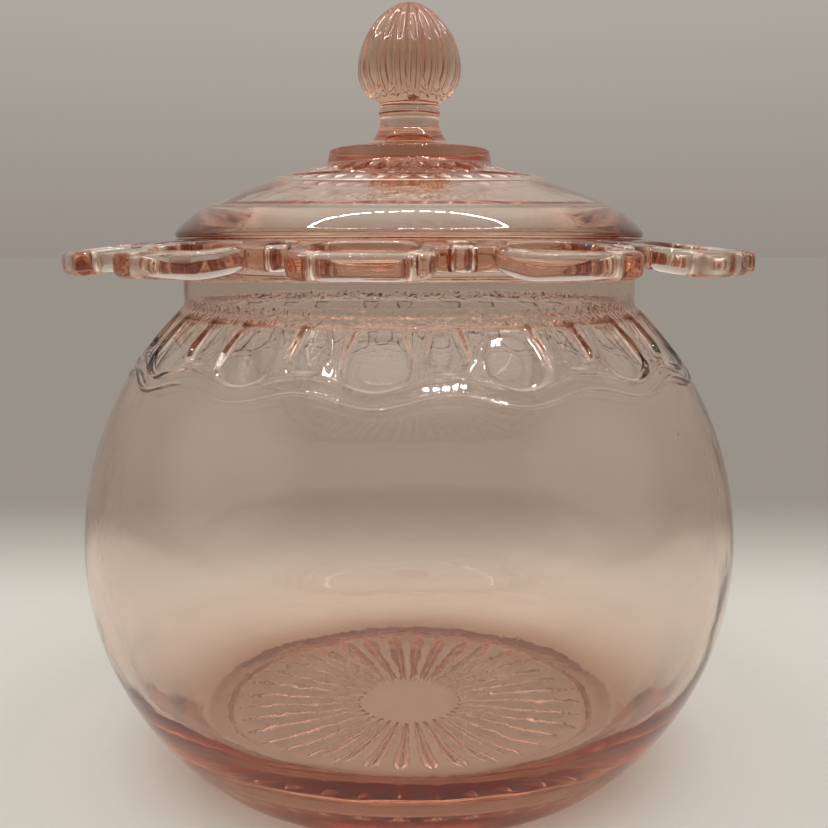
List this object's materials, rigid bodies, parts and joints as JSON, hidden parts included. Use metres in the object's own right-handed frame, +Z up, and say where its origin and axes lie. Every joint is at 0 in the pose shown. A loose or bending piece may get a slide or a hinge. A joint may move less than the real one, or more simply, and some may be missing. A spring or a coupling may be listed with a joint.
{
  "type": "covered glass candy jar",
  "caption": "Round pressed-glass candy jar with an openwork lace flange round its neck and a low domed lid with a ribbed bud knob.",
  "frame": {"origin": "centre of the foot, on the plane the jar stands on", "axes": "+Z up along the jar's axis, +X through the middle of one wide shoulder panel"},
  "size_m": [0.168, 0.168, 0.1872],
  "materials": {
    "jar_glass": "clear pale pink pressed glass, fire polished",
    "lid_glass": "clear pale pink pressed glass, fire polished"
  },
  "bodies": {
    "jar": {"jar": "jar_glass"},
    "lid": {"lid": "lid_glass"}
  },
  "joints": [
    {"name": "lid_lift", "type": "slide", "parent": "jar", "child": "lid", "axis": [0, 0, 1], "range_m": [0, 0.09]}
  ]
}
